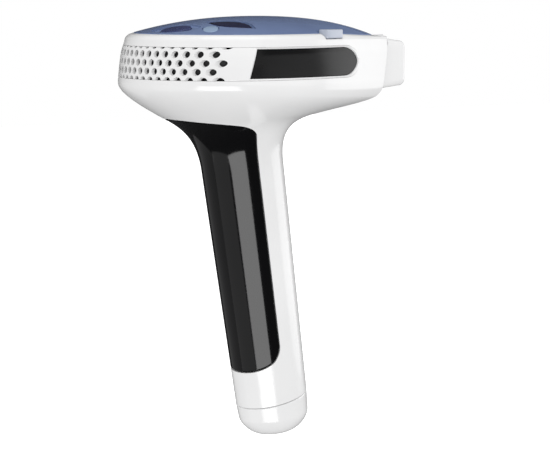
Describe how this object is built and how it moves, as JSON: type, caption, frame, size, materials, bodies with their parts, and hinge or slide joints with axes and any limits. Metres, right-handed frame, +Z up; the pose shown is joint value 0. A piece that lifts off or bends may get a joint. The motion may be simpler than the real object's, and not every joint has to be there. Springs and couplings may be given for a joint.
{
  "type": "hair removal lamp handset",
  "caption": "Pistol-shaped pulsed-light hair remover: vented round head with a blue domed cover, slide-out lamp cartridge and a leaning handle with a dark grip.",
  "frame": {"origin": "on the handle's axis, inside the palm of the hand that holds it", "axes": "+X the way the light leaves, +Y the user's left, +Z up, from the handle toward the head"},
  "size_m": [0.1302, 0.0946, 0.1911],
  "materials": {
    "white_gloss": "moulded gloss",
    "black_gloss": "moulded high gloss",
    "blue_translucent": "tinted translucent gloss",
    "navy_button": "gloss",
    "lavender_translucent": "translucent gloss",
    "status_lens": "light pipe, satin gloss",
    "dark_glass": "smoked gloss",
    "silver_button": "silver coated",
    "silver_frame": "satin",
    "filter_glass": "polished, amber coated",
    "tube_glass": "clear",
    "mirror_aluminium": "bright rolled",
    "sensor_grey": "gloss",
    "dark_plastic": "moulded matte",
    "circuit_board": "solder mask",
    "capacitor_sleeve": "shrink sleeve",
    "copper": "bright",
    "aluminium": "extruded",
    "steel": "plated",
    "fan_black": "moulded",
    "red_lead": "PVC sleeve",
    "black_lead": "PVC sleeve"
  },
  "bodies": {
    "handset": {"main_housing": "white_gloss", "rear_grip": "black_gloss", "end_cap": "white_gloss", "side_band": "white_gloss", "side_window_left": "black_gloss", "side_window_right": "black_gloss", "top_cover": "blue_translucent", "status_lens": "status_lens", "display_window": "dark_glass", "dc_jack": "dark_plastic", "dc_jack_pin": "steel", "flash_switch": "dark_plastic", "switch_board": "circuit_board", "power_board": "circuit_board", "storage_capacitor": "capacitor_sleeve", "charging_transformer": "dark_plastic", "filter_coil": "copper", "cartridge_socket": "dark_plastic", "contact_block": "dark_plastic", "heat_sink": "aluminium", "fan_frame": "dark_plastic", "fan_screw_1": "steel", "fan_screw_2": "steel", "control_board": "circuit_board", "power_switch": "dark_plastic", "status_led": "white_gloss", "display_panel": "dark_plastic", "control_chip": "dark_plastic", "lamp_lead_red": "red_lead", "lamp_lead_black": "black_lead", "supply_lead_red": "red_lead", "supply_lead_black": "black_lead"},
    "cartridge": {"lamp_nozzle": "white_gloss", "window_frame": "silver_frame", "filter_glass": "filter_glass", "cartridge_plug": "dark_plastic", "reflector": "mirror_aluminium", "flash_tube": "tube_glass", "tube_cap_left": "steel", "tube_cap_right": "steel", "contact_pin_left": "copper", "contact_pin_right": "copper"},
    "sensor_left": {"skin_sensor_left": "sensor_grey"},
    "sensor_right": {"skin_sensor_right": "sensor_grey"},
    "rotor": {"fan_rotor": "fan_black"},
    "power_key": {"power_button": "navy_button"},
    "flash_key": {"flash_button": "silver_button"},
    "tab_left": {"release_tab_left": "lavender_translucent"},
    "tab_right": {"release_tab_right": "lavender_translucent"}
  },
  "joints": [
    {"name": "cartridge_slide", "type": "slide", "parent": "handset", "child": "cartridge", "axis": [1, 0, 0], "range_m": [0, 0.045]},
    {"name": "sensor_left_press", "type": "slide", "parent": "cartridge", "child": "sensor_left", "axis": [-1, 0, 0], "range_m": [0, 0.0006], "stiffness_N_per_m": 200},
    {"name": "sensor_right_press", "type": "slide", "parent": "cartridge", "child": "sensor_right", "axis": [-1, 0, 0], "range_m": [0, 0.0006], "stiffness_N_per_m": 200},
    {"name": "flash_button_press", "type": "slide", "parent": "handset", "child": "flash_key", "axis": [-0.9898, 0, -0.1426], "range_m": [0, 0.0012], "stiffness_N_per_m": 600},
    {"name": "power_button_press", "type": "slide", "parent": "handset", "child": "power_key", "axis": [0, 0, -1], "range_m": [0, 0.0003], "stiffness_N_per_m": 600},
    {"name": "release_left_press", "type": "slide", "parent": "handset", "child": "tab_left", "axis": [-0.2867, -0.958, 0], "range_m": [0, 0.001], "stiffness_N_per_m": 800},
    {"name": "release_right_press", "type": "slide", "parent": "handset", "child": "tab_right", "axis": [-0.2867, 0.958, 0], "range_m": [0, 0.001], "stiffness_N_per_m": 800},
    {"name": "fan_spin", "type": "hinge", "parent": "handset", "child": "rotor", "pos_m": [-0.042, 0, 0.0922], "axis": [1, 0, 0], "continuous": true}
  ]
}
